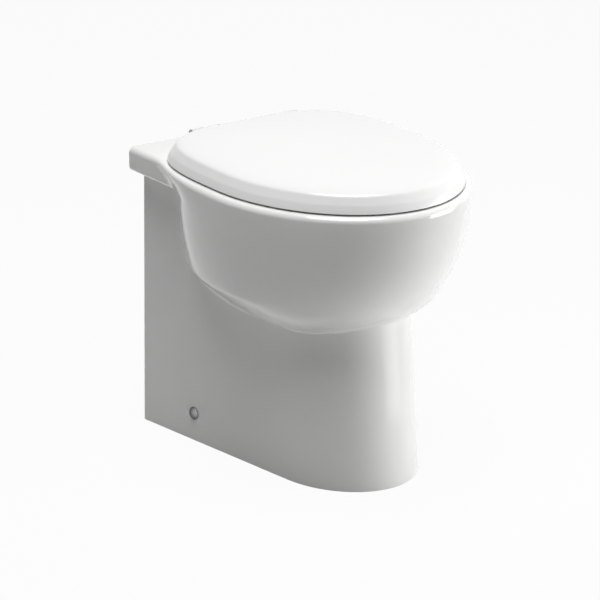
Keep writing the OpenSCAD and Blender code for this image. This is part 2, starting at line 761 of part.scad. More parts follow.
module side_screw(s) color(steel) at_side_fixing(s) {
    translate([0, 0, sleeve_t - screw_len]) cylinder(r = screw_r, h = screw_len + 0.5);
    translate([0, 0, sleeve_t]) cylinder(r = screw_head_r, h = screw_head_h);
}

// Plastic collar: a sleeve in the hole and a disc that the cap snaps over
module screw_sleeve(s) color(nylon) at_side_fixing(s)
    difference() {
        union() {
            cylinder(r = cap_r - 1.4, h = sleeve_t);
            translate([0, 0, 1 - china_t]) cylinder(r = fixing_hole_r - 0.1, h = china_t);
        }
        translate([0, 0, -china_t]) cylinder(r = screw_r + 0.1, h = 2 * china_t);
    }

// Domed cap: part of a ball, hollow over the screw's head
cap_ball = (cap_r * cap_r + cap_h * cap_h) / (2 * cap_h);
module cover_cap(s) color(chrome) at_side_fixing(s)
    difference() {
        translate([0, 0, cap_h - cap_ball]) sphere(r = cap_ball);
        translate([0, 0, -2 * cap_ball + 0.1]) cylinder(r = 2 * cap_ball, h = 2 * cap_ball);
        translate([0, 0, -1]) cylinder(r = cap_r - 1.3, h = 1 + sleeve_t + 0.1);
        translate([0, 0, -1]) cylinder(r = screw_head_r + 0.2, h = 1 + sleeve_t + screw_head_h + 0.2);
    }

pan();
seat_ring();
lid();
seat_buffers();
lid_buffers();
hinge_post(-1);  // hinge_post_left
hinge_post(1);  // hinge_post_right
hinge_plate(-1);  // hinge_plate_left
hinge_plate(1);  // hinge_plate_right
plate_gasket(-1);  // plate_gasket_left
plate_gasket(1);  // plate_gasket_right
hinge_pin(-1);  // hinge_pin_left
hinge_pin(1);  // hinge_pin_right
seat_damper();
seat_bush();
lid_damper();
lid_bush();
seat_bolt(-1);  // seat_bolt_left
seat_bolt(1);  // seat_bolt_right
seat_bolt_bush(-1);  // seat_bolt_bush_left
seat_bolt_bush(1);  // seat_bolt_bush_right
seat_bolt_washer(-1);  // seat_bolt_washer_left
seat_bolt_washer(1);  // seat_bolt_washer_right
wing_nut(-1);  // wing_nut_left
wing_nut(1);  // wing_nut_right
floor_bracket(-1);  // floor_bracket_left
floor_bracket(1);  // floor_bracket_right
side_screw(-1);  // side_screw_left
side_screw(1);  // side_screw_right
screw_sleeve(-1);  // screw_sleeve_left
screw_sleeve(1);  // screw_sleeve_right
cover_cap(-1);  // cover_cap_left
cover_cap(1);  // cover_cap_right
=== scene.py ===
import json
import math
import bmesh
import bpy
from mathutils import Matrix, Vector


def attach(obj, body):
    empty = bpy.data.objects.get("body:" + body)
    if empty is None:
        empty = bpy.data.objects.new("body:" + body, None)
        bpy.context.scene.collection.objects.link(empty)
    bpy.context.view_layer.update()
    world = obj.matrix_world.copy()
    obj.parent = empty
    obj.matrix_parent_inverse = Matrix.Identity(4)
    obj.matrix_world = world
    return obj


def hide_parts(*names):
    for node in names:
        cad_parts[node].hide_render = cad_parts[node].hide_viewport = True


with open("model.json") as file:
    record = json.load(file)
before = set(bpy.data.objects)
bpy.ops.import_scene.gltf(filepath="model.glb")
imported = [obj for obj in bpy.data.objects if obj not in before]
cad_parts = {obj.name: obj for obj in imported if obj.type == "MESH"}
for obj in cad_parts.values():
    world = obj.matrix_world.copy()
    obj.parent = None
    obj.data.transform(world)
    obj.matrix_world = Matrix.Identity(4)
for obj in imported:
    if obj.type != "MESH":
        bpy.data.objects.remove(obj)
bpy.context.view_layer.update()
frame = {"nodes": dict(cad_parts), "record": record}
nodes = frame["nodes"]
print("frame:", len(nodes), "nodes")

# Sizes in the dictionaries are millimetres, Blender's own are metres.
# +Y runs to the wall, the front of the bowl looks along -Y, +X is the picture's right.
mm = 0.001
farAway = 1000.0
wallY = 233.5
past = 1           # how far a cut runs past the face it opens
parallel = 0.01    # a direction that closes in on a plane by less than this never meets it
oval = 2           # the power of a plain ellipse


cameraSet = dict(azimuth=-34.85, elevation=19.48, distance=4.2, target=(0, -0.0165, 0.2), lens=187.98,
                 sensor=36, shiftPixels=(-27.34, 14.9), pictureWidth=600)


def placeCamera(s):
    a, e = math.radians(s["azimuth"]), math.radians(s["elevation"])
    away = Vector((math.sin(a) * math.cos(e), -math.cos(a) * math.cos(e), math.sin(e)))
    bpy.ops.object.camera_add(location=Vector(s["target"]) + away * s["distance"],
                              rotation=away.to_track_quat("Z", "Y").to_euler())
    camera = bpy.context.object
    camera.name = "studioCamera"
    camera.data.sensor_width = s["sensor"]
    camera.data.lens = s["lens"]
    camera.data.shift_x, camera.data.shift_y = [p / s["pictureWidth"] for p in s["shiftPixels"]]
    bpy.context.scene.camera = camera


placeCamera(cameraSet)


def newGroup(name, inputs, outputs):
    group = bpy.data.node_groups.new(name, "ShaderNodeTree")
    for label, kind, value in inputs:
        group.interface.new_socket(label, in_out="INPUT", socket_type=kind).default_value = value
    for label, kind in outputs:
        group.interface.new_socket(label, in_out="OUTPUT", socket_type=kind)
    return group, group.nodes.new("NodeGroupInput"), group.nodes.new("NodeGroupOutput")


def addMath(tree, kind, a, b):
    node = tree.nodes.new("ShaderNodeMath")
    node.operation = kind
    for socket, value in ((node.inputs[0], a), (node.inputs[1], b)):
        if isinstance(value, (int, float)):
            socket.default_value = value
        else:
            tree.links.new(value, socket)
    return node.outputs[0]


def addNoise(tree, where, scale, detail, rough=0.5):
    node = tree.nodes.new("ShaderNodeTexNoise")
    node.inputs["Detail"].default_value = detail
    node.inputs["Roughness"].default_value = rough
    tree.links.new(where, node.inputs["Vector"])
    tree.links.new(scale, node.inputs["Scale"])
    return node.outputs["Fac"]


def objectCoords(tree):
    return tree.nodes.new("ShaderNodeTexCoord").outputs["Object"]


# scales of the fine patterns count from the slow one's
grain = dict(speckScale=60.0, speckFrom=0.72, streakScale=22.0, streakSquash=0.12, streakMiddle=0.5,
             coatRoughness=0.03)


def toneDriftGroup():
    # slow drift from one tone to another, with a few fine specks
    group, entry, out = newGroup("toneDrift", (
        ("Tone", "NodeSocketColor", (1, 1, 1, 1)), ("Other Tone", "NodeSocketColor", (1, 1, 1, 1)),
        ("Scale", "NodeSocketFloat", 6.0), ("Speck", "NodeSocketFloat", 0.1)),
        (("Color", "NodeSocketColor"),))
    where = objectCoords(group)
    slow = addNoise(group, where, entry.outputs["Scale"], 3)
    fine = addNoise(group, where, addMath(group, "MULTIPLY", entry.outputs["Scale"], grain["speckScale"]), 1)
    spot = addMath(group, "GREATER_THAN", fine, grain["speckFrom"])
    speck = addMath(group, "MULTIPLY", spot, entry.outputs["Speck"])
    mix = group.nodes.new("ShaderNodeMix")
    mix.data_type = "RGBA"
    group.links.new(addMath(group, "ADD", slow, speck), mix.inputs[0])
    group.links.new(entry.outputs["Tone"], mix.inputs[6])
    group.links.new(entry.outputs["Other Tone"], mix.inputs[7])
    group.links.new(mix.outputs[2], out.inputs["Color"])
    return group


def glossDriftGroup():
    # handling marks: roughness wanders between two values, with faint streaks
    group, entry, out = newGroup("glossDrift", (
        ("Lowest", "NodeSocketFloat", 0.05), ("Highest", "NodeSocketFloat", 0.12),
        ("Scale", "NodeSocketFloat", 5.0), ("Streak", "NodeSocketFloat", 0.3)),
        (("Roughness", "NodeSocketFloat"),))
    where = objectCoords(group)
    stretch = group.nodes.new("ShaderNodeMapping")
    stretch.inputs["Scale"].default_value = (1, 1, grain["streakSquash"])
    group.links.new(where, stretch.inputs["Vector"])
    slow = addNoise(group, where, entry.outputs["Scale"], 4, 0.6)
    streakScale = addMath(group, "MULTIPLY", entry.outputs["Scale"], grain["streakScale"])
    marks = addNoise(group, stretch.outputs[0], streakScale, 2)
    streak = addMath(group, "SUBTRACT", marks, grain["streakMiddle"])
    level = addMath(group, "ADD", slow, addMath(group, "MULTIPLY", streak, entry.outputs["Streak"]))
    spread = addMath(group, "SUBTRACT", entry.outputs["Highest"], entry.outputs["Lowest"])
    rough = addMath(group, "ADD", entry.outputs["Lowest"], addMath(group, "MULTIPLY", level, spread))
    group.links.new(rough, out.inputs["Roughness"])
    return group


def skinHeightGroup():
    # long waves of a poured or moulded skin, and the orange peel on it
    group, entry, out = newGroup("skinHeight", (
        ("Wave Scale", "NodeSocketFloat", 9.0), ("Peel Scale", "NodeSocketFloat", 500.0),
        ("Peel Share", "NodeSocketFloat", 0.05)), (("Height", "NodeSocketFloat"),))
    where = objectCoords(group)
    wave = addNoise(group, where, entry.outputs["Wave Scale"], 1)
    peel = addNoise(group, where, entry.outputs["Peel Scale"], 1)
    height = addMath(group, "ADD", wave, addMath(group, "MULTIPLY", peel, entry.outputs["Peel Share"]))
    group.links.new(height, out.inputs["Height"])
    return group


toneDrift, glossDrift, skinHeight = toneDriftGroup(), glossDriftGroup(), skinHeightGroup()
print("shader groups built")


def newFinish(name, tone, otherTone, gloss, wave, bump, metallic=0.0, coat=0.0, toneScale=5.0,
              speck=0.0, streak=0.3, glossScale=5.0, ior=1.5):
    # gloss: lowest and highest roughness; wave: scales of wave and peel, share of the peel;
    # bump: strength, distance in metres
    finish = bpy.data.materials.new(name)
    finish.use_nodes = True
    tree = finish.node_tree
    shader = tree.nodes["Principled BSDF"]

    def placeGroup(group, values):
        node = tree.nodes.new("ShaderNodeGroup")
        node.node_tree = group
        for label, value in values.items():
            node.inputs[label].default_value = value
        return node.outputs[0]

    color = placeGroup(toneDrift, {"Tone": (*tone, 1), "Other Tone": (*otherTone, 1),
                                   "Scale": toneScale, "Speck": speck})
    rough = placeGroup(glossDrift, {"Lowest": gloss[0], "Highest": gloss[1],
                                    "Scale": glossScale, "Streak": streak})
    height = placeGroup(skinHeight, {"Wave Scale": wave[0], "Peel Scale": wave[1], "Peel Share": wave[2]})
    raised = tree.nodes.new("ShaderNodeBump")
    raised.inputs["Strength"].default_value = bump[0]
    raised.inputs["Distance"].default_value = bump[1]
    tree.links.new(color, shader.inputs["Base Color"])
    tree.links.new(rough, shader.inputs["Roughness"])
    tree.links.new(height, raised.inputs["Height"])
    tree.links.new(raised.outputs[0], shader.inputs["Normal"])
    shader.inputs["Metallic"].default_value = metallic
    shader.inputs["Coat Weight"].default_value = coat
    shader.inputs["Coat Roughness"].default_value = grain["coatRoughness"]
    shader.inputs["IOR"].default_value = ior
    return finish


glazedChina = newFinish("glazedChina", (0.86, 0.862, 0.855), (0.835, 0.838, 0.828), (0.09, 0.15),
                        (7.0, 420.0, 0.004), (0.35, 0.004), coat=0.5, speck=0.02)
rawChina = newFinish("rawChina", (0.72, 0.70, 0.655), (0.63, 0.60, 0.54), (0.62, 0.82),
                     (40.0, 900.0, 0.5), (0.35, 0.0006), toneScale=14.0, speck=0.5, ior=1.45)
lidPlastic = newFinish("lidPlastic", (0.875, 0.877, 0.872), (0.86, 0.862, 0.858), (0.2, 0.27),
                       (5.0, 900.0, 0.003), (0.25, 0.003), coat=0.1, ior=1.52)
seatPlastic = newFinish("seatPlastic", (0.875, 0.877, 0.872), (0.855, 0.857, 0.85), (0.1, 0.16),
                        (6.0, 800.0, 0.004), (0.25, 0.003), coat=0.25, ior=1.52)
whiteNylon = newFinish("whiteNylon", (0.78, 0.78, 0.765), (0.74, 0.74, 0.72), (0.34, 0.46),
                       (60.0, 1500.0, 0.3), (0.2, 0.0003), toneScale=30.0)
greyNylon = newFinish("greyNylon", (0.27, 0.275, 0.28), (0.23, 0.235, 0.24), (0.36, 0.5),
                      (60.0, 1500.0, 0.4), (0.25, 0.0003), toneScale=30.0)
greyRubber = newFinish("greyRubber", (0.34, 0.34, 0.335), (0.29, 0.29, 0.285), (0.62, 0.8),
                       (90.0, 1400.0, 0.6), (0.4, 0.0004), toneScale=40.0, speck=0.3, ior=1.45)
turnedSteel = newFinish("turnedSteel", (0.56, 0.56, 0.57), (0.5, 0.5, 0.505), (0.2, 0.36),
                        (120.0, 1600.0, 0.6), (0.2, 0.0002), metallic=1.0, streak=1.2, glossScale=40.0)
zincSteel = newFinish("zincSteel", (0.5, 0.515, 0.53), (0.4, 0.415, 0.425), (0.3, 0.52), (70.0, 1200.0, 0.3),
                      (0.25, 0.0003), metallic=1.0, toneScale=70.0, streak=0.6, glossScale=60.0)
polishedChrome = newFinish("polishedChrome", (0.36, 0.364, 0.372), (0.3, 0.304, 0.31), (0.03, 0.09),
                           (60.0, 2000.0, 0.01), (0.1, 0.0003), metallic=1.0, streak=0.8, glossScale=60.0)


def paintedRimReflection(finish, edge, blend):
    # painted reflection: the base colour is darkened towards the rim, standing in for the darker surroundings
    # that a small curved mirror shows there
    tree = finish.node_tree
    shader = tree.nodes["Principled BSDF"]
    tone = shader.inputs["Base Color"].links[0].from_socket
    facing = tree.nodes.new("ShaderNodeLayerWeight")
    facing.inputs["Blend"].default_value = blend
    mix = tree.nodes.new("ShaderNodeMix")
    mix.data_type = "RGBA"
    mix.inputs[7].default_value = (*edge, 1)
    tree.links.new(facing.outputs["Facing"], mix.inputs[0])
    tree.links.new(tone, mix.inputs[6])
    tree.links.new(mix.outputs[2], shader.inputs["Base Color"])


# the chrome caps get a painted dark reflection towards their rim
paintedRimReflection(polishedChrome, edge=(0.006, 0.006, 0.007), blend=0.8)
print("finishes built")


def plainName(name):
    return name.replace("_left", "").replace("_right", "")


nodeFinish = {
    "seat_buffers": greyRubber, "lid_buffers": greyRubber, "plate_gasket": greyRubber,
    "seat_bolt_bush": greyRubber, "hinge_post": whiteNylon, "hinge_plate": whiteNylon,
    "seat_bush": whiteNylon, "lid_bush": whiteNylon, "wing_nut": whiteNylon, "screw_sleeve": whiteNylon,
    "seat_damper": greyNylon, "lid_damper": greyNylon, "hinge_pin": turnedSteel, "seat_bolt": turnedSteel,
    "seat_bolt_washer": turnedSteel, "side_screw": turnedSteel, "floor_bracket": zincSteel}
for name, node in nodes.items():
    if plainName(name) in nodeFinish:
        for slot in node.material_slots:
            slot.material = nodeFinish[plainName(name)]


def deselectAll():
    if bpy.context.object and bpy.context.object.mode != "OBJECT":
        bpy.ops.object.mode_set(mode="OBJECT")
    bpy.ops.object.select_all(action="DESELECT")


def pickOnly(piece):
    deselectAll()
    piece.select_set(True)
    bpy.context.view_layer.objects.active = piece


def loftRings(name, rings):
    # a circle is extruded once for each ring, and each new row is moved to its outline
    deselectAll()
    bpy.ops.mesh.primitive_circle_add(vertices=len(rings[0]), radius=0.1, fill_type="NOTHING")
    piece = bpy.context.object
    piece.name = name
    bpy.ops.object.mode_set(mode="EDIT")
    shape = bmesh.from_edit_mesh(piece.data)
    shape.verts.ensure_lookup_table()
    row = list(range(len(rings[0])))
    for step, ring in enumerate(rings):
        if step:
            bpy.ops.mesh.extrude_region_move()
            shape = bmesh.from_edit_mesh(piece.data)
            shape.verts.ensure_lookup_table()
            row = [next(e.other_vert(shape.verts[k]).index for e in shape.verts[k].link_edges
                        if e.other_vert(shape.verts[k]).select) for k in row]
        for k, (x, y, z) in zip(row, ring):
            shape.verts[k].co = (x * mm, y * mm, z * mm)
    bmesh.update_edit_mesh(piece.data)
    # the last row is still selected and is filled first, then the open first row
    bpy.ops.mesh.edge_face_add()
    bpy.ops.mesh.select_all(action="DESELECT")
    bpy.ops.mesh.select_non_manifold(extend=False)
    bpy.ops.mesh.edge_face_add()
    bpy.ops.mesh.select_all(action="SELECT")
    bpy.ops.mesh.normals_make_consistent(inside=False)
    bpy.ops.object.mode_set(mode="OBJECT")
    return piece


def applyPlace(piece):
    pickOnly(piece)
    bpy.ops.object.transform_apply(location=True, rotation=True, scale=True)


def combine(piece, tool, kind="DIFFERENCE"):
    pickOnly(piece)
    cut = piece.modifiers.new(kind.lower(), "BOOLEAN")
    cut.object, cut.operation, cut.solver = tool, kind, "MANIFOLD"
    bpy.ops.object.modifier_apply(modifier=cut.name)
    bpy.data.objects.remove(tool)
    return piece


def addRound(radius, length, place, turn=(0, 0, 0), sides=64):
    # a cylinder that starts at its place and runs along its own +Z, turned after that
    deselectAll()
    bpy.ops.mesh.primitive_cylinder_add(vertices=sides, radius=radius * mm, depth=length * mm)
    piece = bpy.context.object
    turned = (Matrix.Rotation(turn[2], 4, "Z") @ Matrix.Rotation(turn[1], 4, "Y")
              @ Matrix.Rotation(turn[0], 4, "X"))
    piece.matrix_world = (Matrix.Translation(Vector(place) * mm) @ turned
                          @ Matrix.Translation((0, 0, length * mm / 2)))
    applyPlace(piece)
    return piece


def addBlock(low, high):
    deselectAll()
    bpy.ops.mesh.primitive_cube_add(size=1)
    piece = bpy.context.object
    piece.scale = [(b - a) * mm for a, b in zip(low, high)]
    piece.location = [(a + b) / 2 * mm for a, b in zip(low, high)]
    applyPlace(piece)
    return piece


def giveFinish(piece, *finishes):
    piece.data.materials.clear()
    for finish in finishes:
        piece.data.materials.append(finish)


def smoothOver(piece, degrees=32):
    # normals weighted by face area keep the large flats flat
    pickOnly(piece)
    bpy.ops.object.shade_smooth_by_angle(angle=math.radians(degrees))
    even = piece.modifiers.new("even", "WEIGHTED_NORMAL")
    even.keep_sharp = True
    bpy.ops.object.modifier_apply(modifier=even.name)


def easePath(points, steps):
    # rounded curve through the points, each a tuple of the same length
    out = []
    for k in range(len(points) - 1):
        p0, p1 = points[max(k - 1, 0)], points[k]
        p2, p3 = points[k + 1], points[min(k + 2, len(points) - 1)]
        for j in range(steps):
            t = j / steps
            out.append(tuple(0.5 * (2 * b + (c - a) * t + (2 * a - 5 * b + 4 * c - d) * t * t
                                    + (3 * b - a - 3 * c + d) * t ** 3)
                             for a, b, c, d in zip(p0, p1, p2, p3)))
    return out + [points[-1]]


def fillet(a, b, width):
    return max(a, b) + max(width - abs(a - b), 0) ** 2 / (4 * width)


def egg(s, c, half, front, back, frontRound, backRound):
    n, reach = (frontRound, front) if c >= 0 else (backRound, back)
    return (abs(s / half) ** n + abs(c / reach) ** n) ** (-1 / n)


def outlineRing(z, angles, reach, shift=0.0):
    # the half on +X from the front to the back, and its mirror image
    ring = [(t, reach(math.sin(t), math.cos(t))) for t in angles]
    half = [(r * math.sin(t), centreY + shift - r * math.cos(t), z) for t, r in ring]
    return half + [(-x, y, h) for x, y, h in half[-2:0:-1]]


# outlines: radius round the widest part of the bowl, s to the side, c to the front
pan = dict(
    # the whole, and the bowl's outside
    width=358, length=467, height=400, widest=241, wall=12, wallDrop=0.45, bowlBack=212, bowlDepth=179,
    sideDraw=55, frontDraw=130, bowlRound=2.15, bowlCurve=1.73, sideCurve=2,
    rimRound=3.3, rimBand=9.5, rimEdge=8, rimBlend=45, rimWidth=45,
    # ledge on the bowl's underside
    ledge=266, ledgeSlope=0.62, ledgeSoft=6, ledgeSquare=0.025,
    # shelf behind the bowl; its blend starts shelfBelow under it
    shelfWidth=307, shelfSide=34, shelfThick=16, shelfCorner=7, shelfUnder=1.75, shelfBelow=15, shelfMargin=1,
    # plinth: noseJoin is the share of the nose's width at which the straight sides run into it
    plinthWidth=275, plinthLength=400.5, noseWidth=100, noseJoin=1.014, noseLean=0.1, noseTop=200,
    sideTaper=0.132, sideLean=0.02, sideTurn=92, foot=2, backEdge=1,
    # fillets between these forms
    plinthFillet=6, shelfFillet=24, lowFillet=9, underRound=7,
    # mouth with its lip, the channel behind it, and the bowl's inside
    mouthWidth=266, mouthBack=118, mouthRound=2.4, mouthEdge=9, lipHeight=40, lipThick=12, lipEdge=4,
    channel=9, insideRound=2.3, sump=26, weir=147,
    # no glaze below and behind these
    rawFoot=1.4, rawBack=0.6)
centreY = wallY - pan["widest"]
bowlFront = pan["length"] - pan["widest"]
bowlLow = pan["height"] - pan["rimBand"] - pan["bowlDepth"]
shelfBottom = pan["height"] - pan["shelfSide"]
shelfFrom = shelfBottom - pan["shelfBelow"]
plinthHalf = pan["plinthWidth"] / 2
noseFrom = (plinthHalf - pan["noseJoin"] * pan["noseWidth"]) / pan["sideTaper"]


def wallReach(c, clear):
    return (pan["widest"] - clear) / -c if c < 0 else farAway


def plinthReach(s, c, z, inset):
    half = plinthHalf - pan["sideLean"] * z - inset
    wide = pan["noseWidth"] - pan["sideLean"] * z - inset
    # the nose's lean fades out round the bowl's underside
    lean = pan["noseLean"] * min(z, pan["noseTop"])
    reach = pan["plinthLength"] - noseFrom - lean - inset
    off = pan["widest"] - noseFrom
    qa = (s / wide) ** 2 + (c / reach) ** 2
    qb = c * off / reach ** 2
    qc = (off / reach) ** 2 - 1
    nose = (-qb + math.sqrt(max(qb * qb - qa * qc, 0))) / qa
    slope = s + pan["sideTaper"] * c
    side = (half - pan["sideTaper"] * pan["widest"]) / slope if slope > parallel else farAway
    meet = noseFrom + pan["sideTaper"] * reach ** 2 / math.hypot(wide, pan["sideTaper"] * reach)
    back = wallReach(c, 0 if inset < pan["wall"] else -past)
    return min(nose if pan["widest"] + nose * c >= meet else side, back)


def bowlShare(z, curve):
    u = min(max((pan["height"] - pan["rimBand"] - z) / pan["bowlDepth"], 0), 1)
    return 1 - (1 - u ** curve) ** (1 / curve)


def ledgeIn(z):
    d, soft = max(pan["ledge"] - z, 0), pan["ledgeSoft"]
    return pan["ledgeSlope"] * (d * d / (2 * soft) if d < soft else d - soft / 2)


def bowlHalf(z):
    return pan["width"] / 2 - pan["sideDraw"] * bowlShare(z, pan["sideCurve"]) - ledgeIn(z)


def bowlAhead(z):
    return bowlFront - pan["frontDraw"] * bowlShare(z, pan["bowlCurve"])


def bowlReach(s, c, z, inset):
    t = min(max((z - pan["height"] + pan["rimBlend"]) / pan["rimBlend"], 0), 1)
    frontRound = oval + pan["ledgeSquare"] * ledgeIn(z)
    backRound = pan["bowlRound"] + (pan["rimRound"] - pan["bowlRound"]) * t * t
    return egg(s, c, bowlHalf(z) - inset, bowlAhead(z) - inset, pan["bowlBack"] - inset,
               frontRound, backRound)


def underFillet(z):
    t = (bowlLow - z) / pan["underRound"]
    return 0 if t >= 1 else pan["underRound"] * (1 - math.sqrt(max(1 - (1 - t) ** 2, 0)))


def shelfHalf(z):
    t, full, r = (z - shelfBottom) / pan["shelfCorner"], pan["shelfWidth"] / 2, pan["shelfCorner"]
    if t >= 1:
        return full
    if t >= 0:
        return full - r * (1 - math.sqrt(1 - (1 - t) ** 2))
    return full - r + pan["shelfUnder"] * (z - shelfBottom)


def outsideReach(s, c, z, inset):
    back = wallReach(c, min(inset, pan["backEdge"]))
    plinth = plinthReach(s, c, z, inset)
    bowl = min(bowlReach(s, c, max(z, bowlLow), inset), back)
    if z >= bowlLow:
        low = fillet(plinth, bowl, pan["plinthFillet"])
    else:
        low = plinth + min(underFillet(z), max(bowl - plinth, 0))
    if z > shelfFrom:
        shelf = 0
        if shelfHalf(z) > plinthHalf - pan["sideLean"] * z - pan["shelfMargin"] and c < 0:
            shelf = min((shelfHalf(z) - inset) / s if s > parallel else farAway, back)
        up = min(max((z - shelfBottom) / pan["shelfSide"], 0), 1)
        low = fillet(low, shelf, pan["lowFillet"] + (pan["shelfFillet"] - pan["lowFillet"]) * up)
    return min(low, back)


# points from the front to past the side, on to the corner, and on to the middle of the back
fineTurns, plainTurns = (64, 40, 8), (40, 20, 6)


def halfTurns(corner, counts):
    turn = math.radians(pan["sideTurn"])
    front, side, back = counts
    return ([turn * k / front for k in range(front)]
            + [turn + (corner - turn) * k / side for k in range(side)]
            + [corner + (math.pi - corner) * k / back for k in range(back + 1)])


def outsideAngles(z, inset):
    wide = max(plinthHalf - pan["sideLean"] * z, shelfHalf(z)) - inset
    corner = math.pi - math.atan(wide / (pan["widest"] - min(inset, pan["backEdge"])))
    return halfTurns(corner, fineTurns)


topAngles = outsideAngles(pan["height"], pan["rimEdge"])


def outsideRing(z, inset=0.0):
    return outlineRing(z, outsideAngles(z, inset), lambda s, c: outsideReach(s, c, z, inset))


def mouthRing(z, inset):
    half = pan["mouthWidth"] / 2 + inset
    front = pan["length"] - pan["rimWidth"] - pan["widest"] + inset
    back = pan["widest"] - pan["mouthBack"] + inset
    return outlineRing(z, topAngles, lambda s, c: egg(s, c, half, front, back, oval, pan["mouthRound"]))


wallBack = pan["widest"] - pan["mouthBack"] + pan["lipThick"] + pan["channel"]
rimRoof = pan["height"] - pan["shelfThick"]


def bowlRow(z, inset, back):
    return (z, bowlHalf(z) - pan["wall"] - inset, bowlAhead(z) - pan["wall"] - inset, back, 0)


# inside of the bowl: height, half width, to the front, to the back, shift to the back
bowlRows = [
    (pan["sump"], 20, 20, 20, 14), (35, 34, 34, 34, 13), (62, 42, 42, 40, 8), (108, 50, 52, 40, 4),
    (pan["weir"], 62, 76, 55, -4), (171, 74, 94, 56, -4), (198, 84, 112, 57, -3), (228, 100, 126, 76, -2),
    bowlRow(264, 8, wallBack - 28), bowlRow(302, 3, wallBack - 11), bowlRow(340, 1, wallBack - 3),
    bowlRow(rimRoof - 6, 0, wallBack)]


def bowlRing(row, out=0.0, down=0.0):
    z, half, front, back, shift = row
    return outlineRing(z - down, topAngles, lambda s, c: egg(s, c, half + out, front + out, back + out,
                                                             oval, pan["insideRound"]), shift)


# rows of the pan's skin: how many on each stretch, and how they spread up the bowl
skinRows = dict(low=26, under=8, bowl=46, bowlGrowth=1.9, bowlShare=0.9, top=6, inside=6)
# heights above the shelf's lower edge, and depths below the rim on both faces of the lip
shelfRows = (-14, -12.5, -11, -9.5, -8, -6.5, -5, -3.5, -2, -1, 0,
             0.3, 1, 2, 3.2, 4.6, 7, 10, 14, 18, 21, 23.5)
lipFront, lipBehind = (14, 20, 26, 32), 26
roofEdge, roofEase = 5, 1
fineQuarter, plainQuarter, footQuarter = range(0, 91, 10), (0, 22, 45, 67, 90), (0, 30, 60)


def quarter(degrees):
    # sines and cosines along a quarter turn, to round an edge
    return [(math.sin(math.radians(a)), math.cos(math.radians(a))) for a in degrees]


def outsideHeights():
    rows, foot, bend = skinRows, pan["foot"], pan["underRound"]
    low = [foot + (bowlLow - bend - foot) * k / rows["low"] for k in range(rows["low"] + 1)]
    under = [bowlLow - bend * (1 - math.sin(math.pi / 2 * k / rows["under"]))
             for k in range(1, rows["under"])]
    bowl = [bowlLow + pan["bowlDepth"] * (k / rows["bowl"]) ** rows["bowlGrowth"] * rows["bowlShare"]
            for k in range(1, rows["bowl"] + 1)]
    return (low + under + [bowlLow] + [z for z in bowl if z < shelfFrom]
            + [shelfBottom + d for d in shelfRows])


def panSkin():
    # foot, outside, outer edge, flat top, mouth and lip, channel, and down the bowl to the sump
    high, foot, rim, mouth = pan["height"], pan["foot"], pan["rimEdge"], pan["mouthEdge"]
    lip, thick, low = pan["lipEdge"], pan["lipThick"], pan["height"] - pan["lipHeight"]
    footRings = [outsideRing(foot * (1 - co), foot * (1 - si)) for si, co in quarter(footQuarter)]
    edge = [outsideRing(high - rim * (1 - si), rim * (1 - co)) for si, co in quarter(fineQuarter)]
    across = list(zip(edge[-1], mouthRing(high, mouth)))
    top = [[tuple(a + (b - a) * k / skinRows["top"] for a, b in zip(p, q)) for p, q in across]
           for k in range(1, skinRows["top"])]
    inner = [mouthRing(high - mouth * (1 - co), mouth * (1 - si)) for si, co in quarter(fineQuarter)]
    inner += [mouthRing(high - d, 0) for d in lipFront]
    inner += [mouthRing(low + lip - lip * si, lip - lip * co) for si, co in quarter(plainQuarter)]
    inner += [mouthRing(low + lip - lip * co, thick - lip + lip * si) for si, co in quarter(plainQuarter)]
    inner += [mouthRing(high - lipBehind, thick), mouthRing(rimRoof - roofEase, thick),
              mouthRing(rimRoof, thick + roofEase)]
    bowl = [bowlRing(bowlRow(rimRoof, roofEdge, wallBack - roofEdge))]
    bowl += [bowlRing(row) for row in reversed(easePath(bowlRows, skinRows["inside"]))]
    return footRings + [outsideRing(z) for z in outsideHeights()] + edge + top + inner + bowl


# radii and distances from the wall; a boss is the thicker china behind the spigot
waterway = dict(
    trap=35, elbowMore=1, limbDrop=1, crownBack=99, outlet=51, outletBore=38, outletHeight=180, outletFrom=60,
    spigot=46, boreMore=19, bossLap=4, bossMore=4, bossEnd=6, castLap=2, castPlay=1.5,
    inlet=28, inletWall=9, inletHeight=334, inletFrom=45, inletRun=20, inletMore=3, aboveWeir=110,
    chinaLess=1)
fixings = dict(boltHole=7, span=155, fromWall=52, sideHole=5, sideFrom=106, sideHeight=40, sideSeat=0.3,
               sideInto=3)
# blocks that trim all there is beyond a face
trim = dict(half=500, deep=800, top=900, below=5, above=60, notchBelow=2, notchAbove=58)
crownFrom = pan["widest"] - waterway["crownBack"]
limbLow = pan["sump"] + waterway["trap"] - waterway["limbDrop"]
# middle of the rising limb: distance from the wall, height
limbLine = [(crownFrom + 77, limbLow), (crownFrom + 62, limbLow), (crownFrom + 40, limbLow + 6),
            (crownFrom + 22, limbLow + 22), (crownFrom + 11, limbLow + 46), (crownFrom + 6, limbLow + 74),
            (crownFrom + 2, waterway["outletHeight"] - 26), (crownFrom, waterway["outletHeight"])]
fromWall = (math.pi / 2, 0, 0)    # +Z turned to -Y
sideTilt = math.atan(pan["sideTaper"])
sideX = (plinthHalf - pan["sideLean"] * fixings["sideHeight"] - pan["sideTaper"] * fixings["sideFrom"]
         + fixings["sideSeat"])


def addLimb(radius, sides=40):
    line = easePath(limbLine, 4)
    turns = [2 * math.pi * (j + 0.5) / sides for j in range(sides)]
    rings = []
    for k, (d, z) in enumerate(line):
        (d0, z0), (d1, z1) = line[max(k - 1, 0)], line[min(k + 1, len(line) - 1)]
        size = math.hypot(d1 - d0, z1 - z0)
        ax, az = (z1 - z0) / size, -(d1 - d0) / size
        rings.append([(radius * math.sin(t), wallY - d - ax * radius * math.cos(t),
                       z + az * radius * math.cos(t)) for t in turns])
    return loftRings("limb", rings)


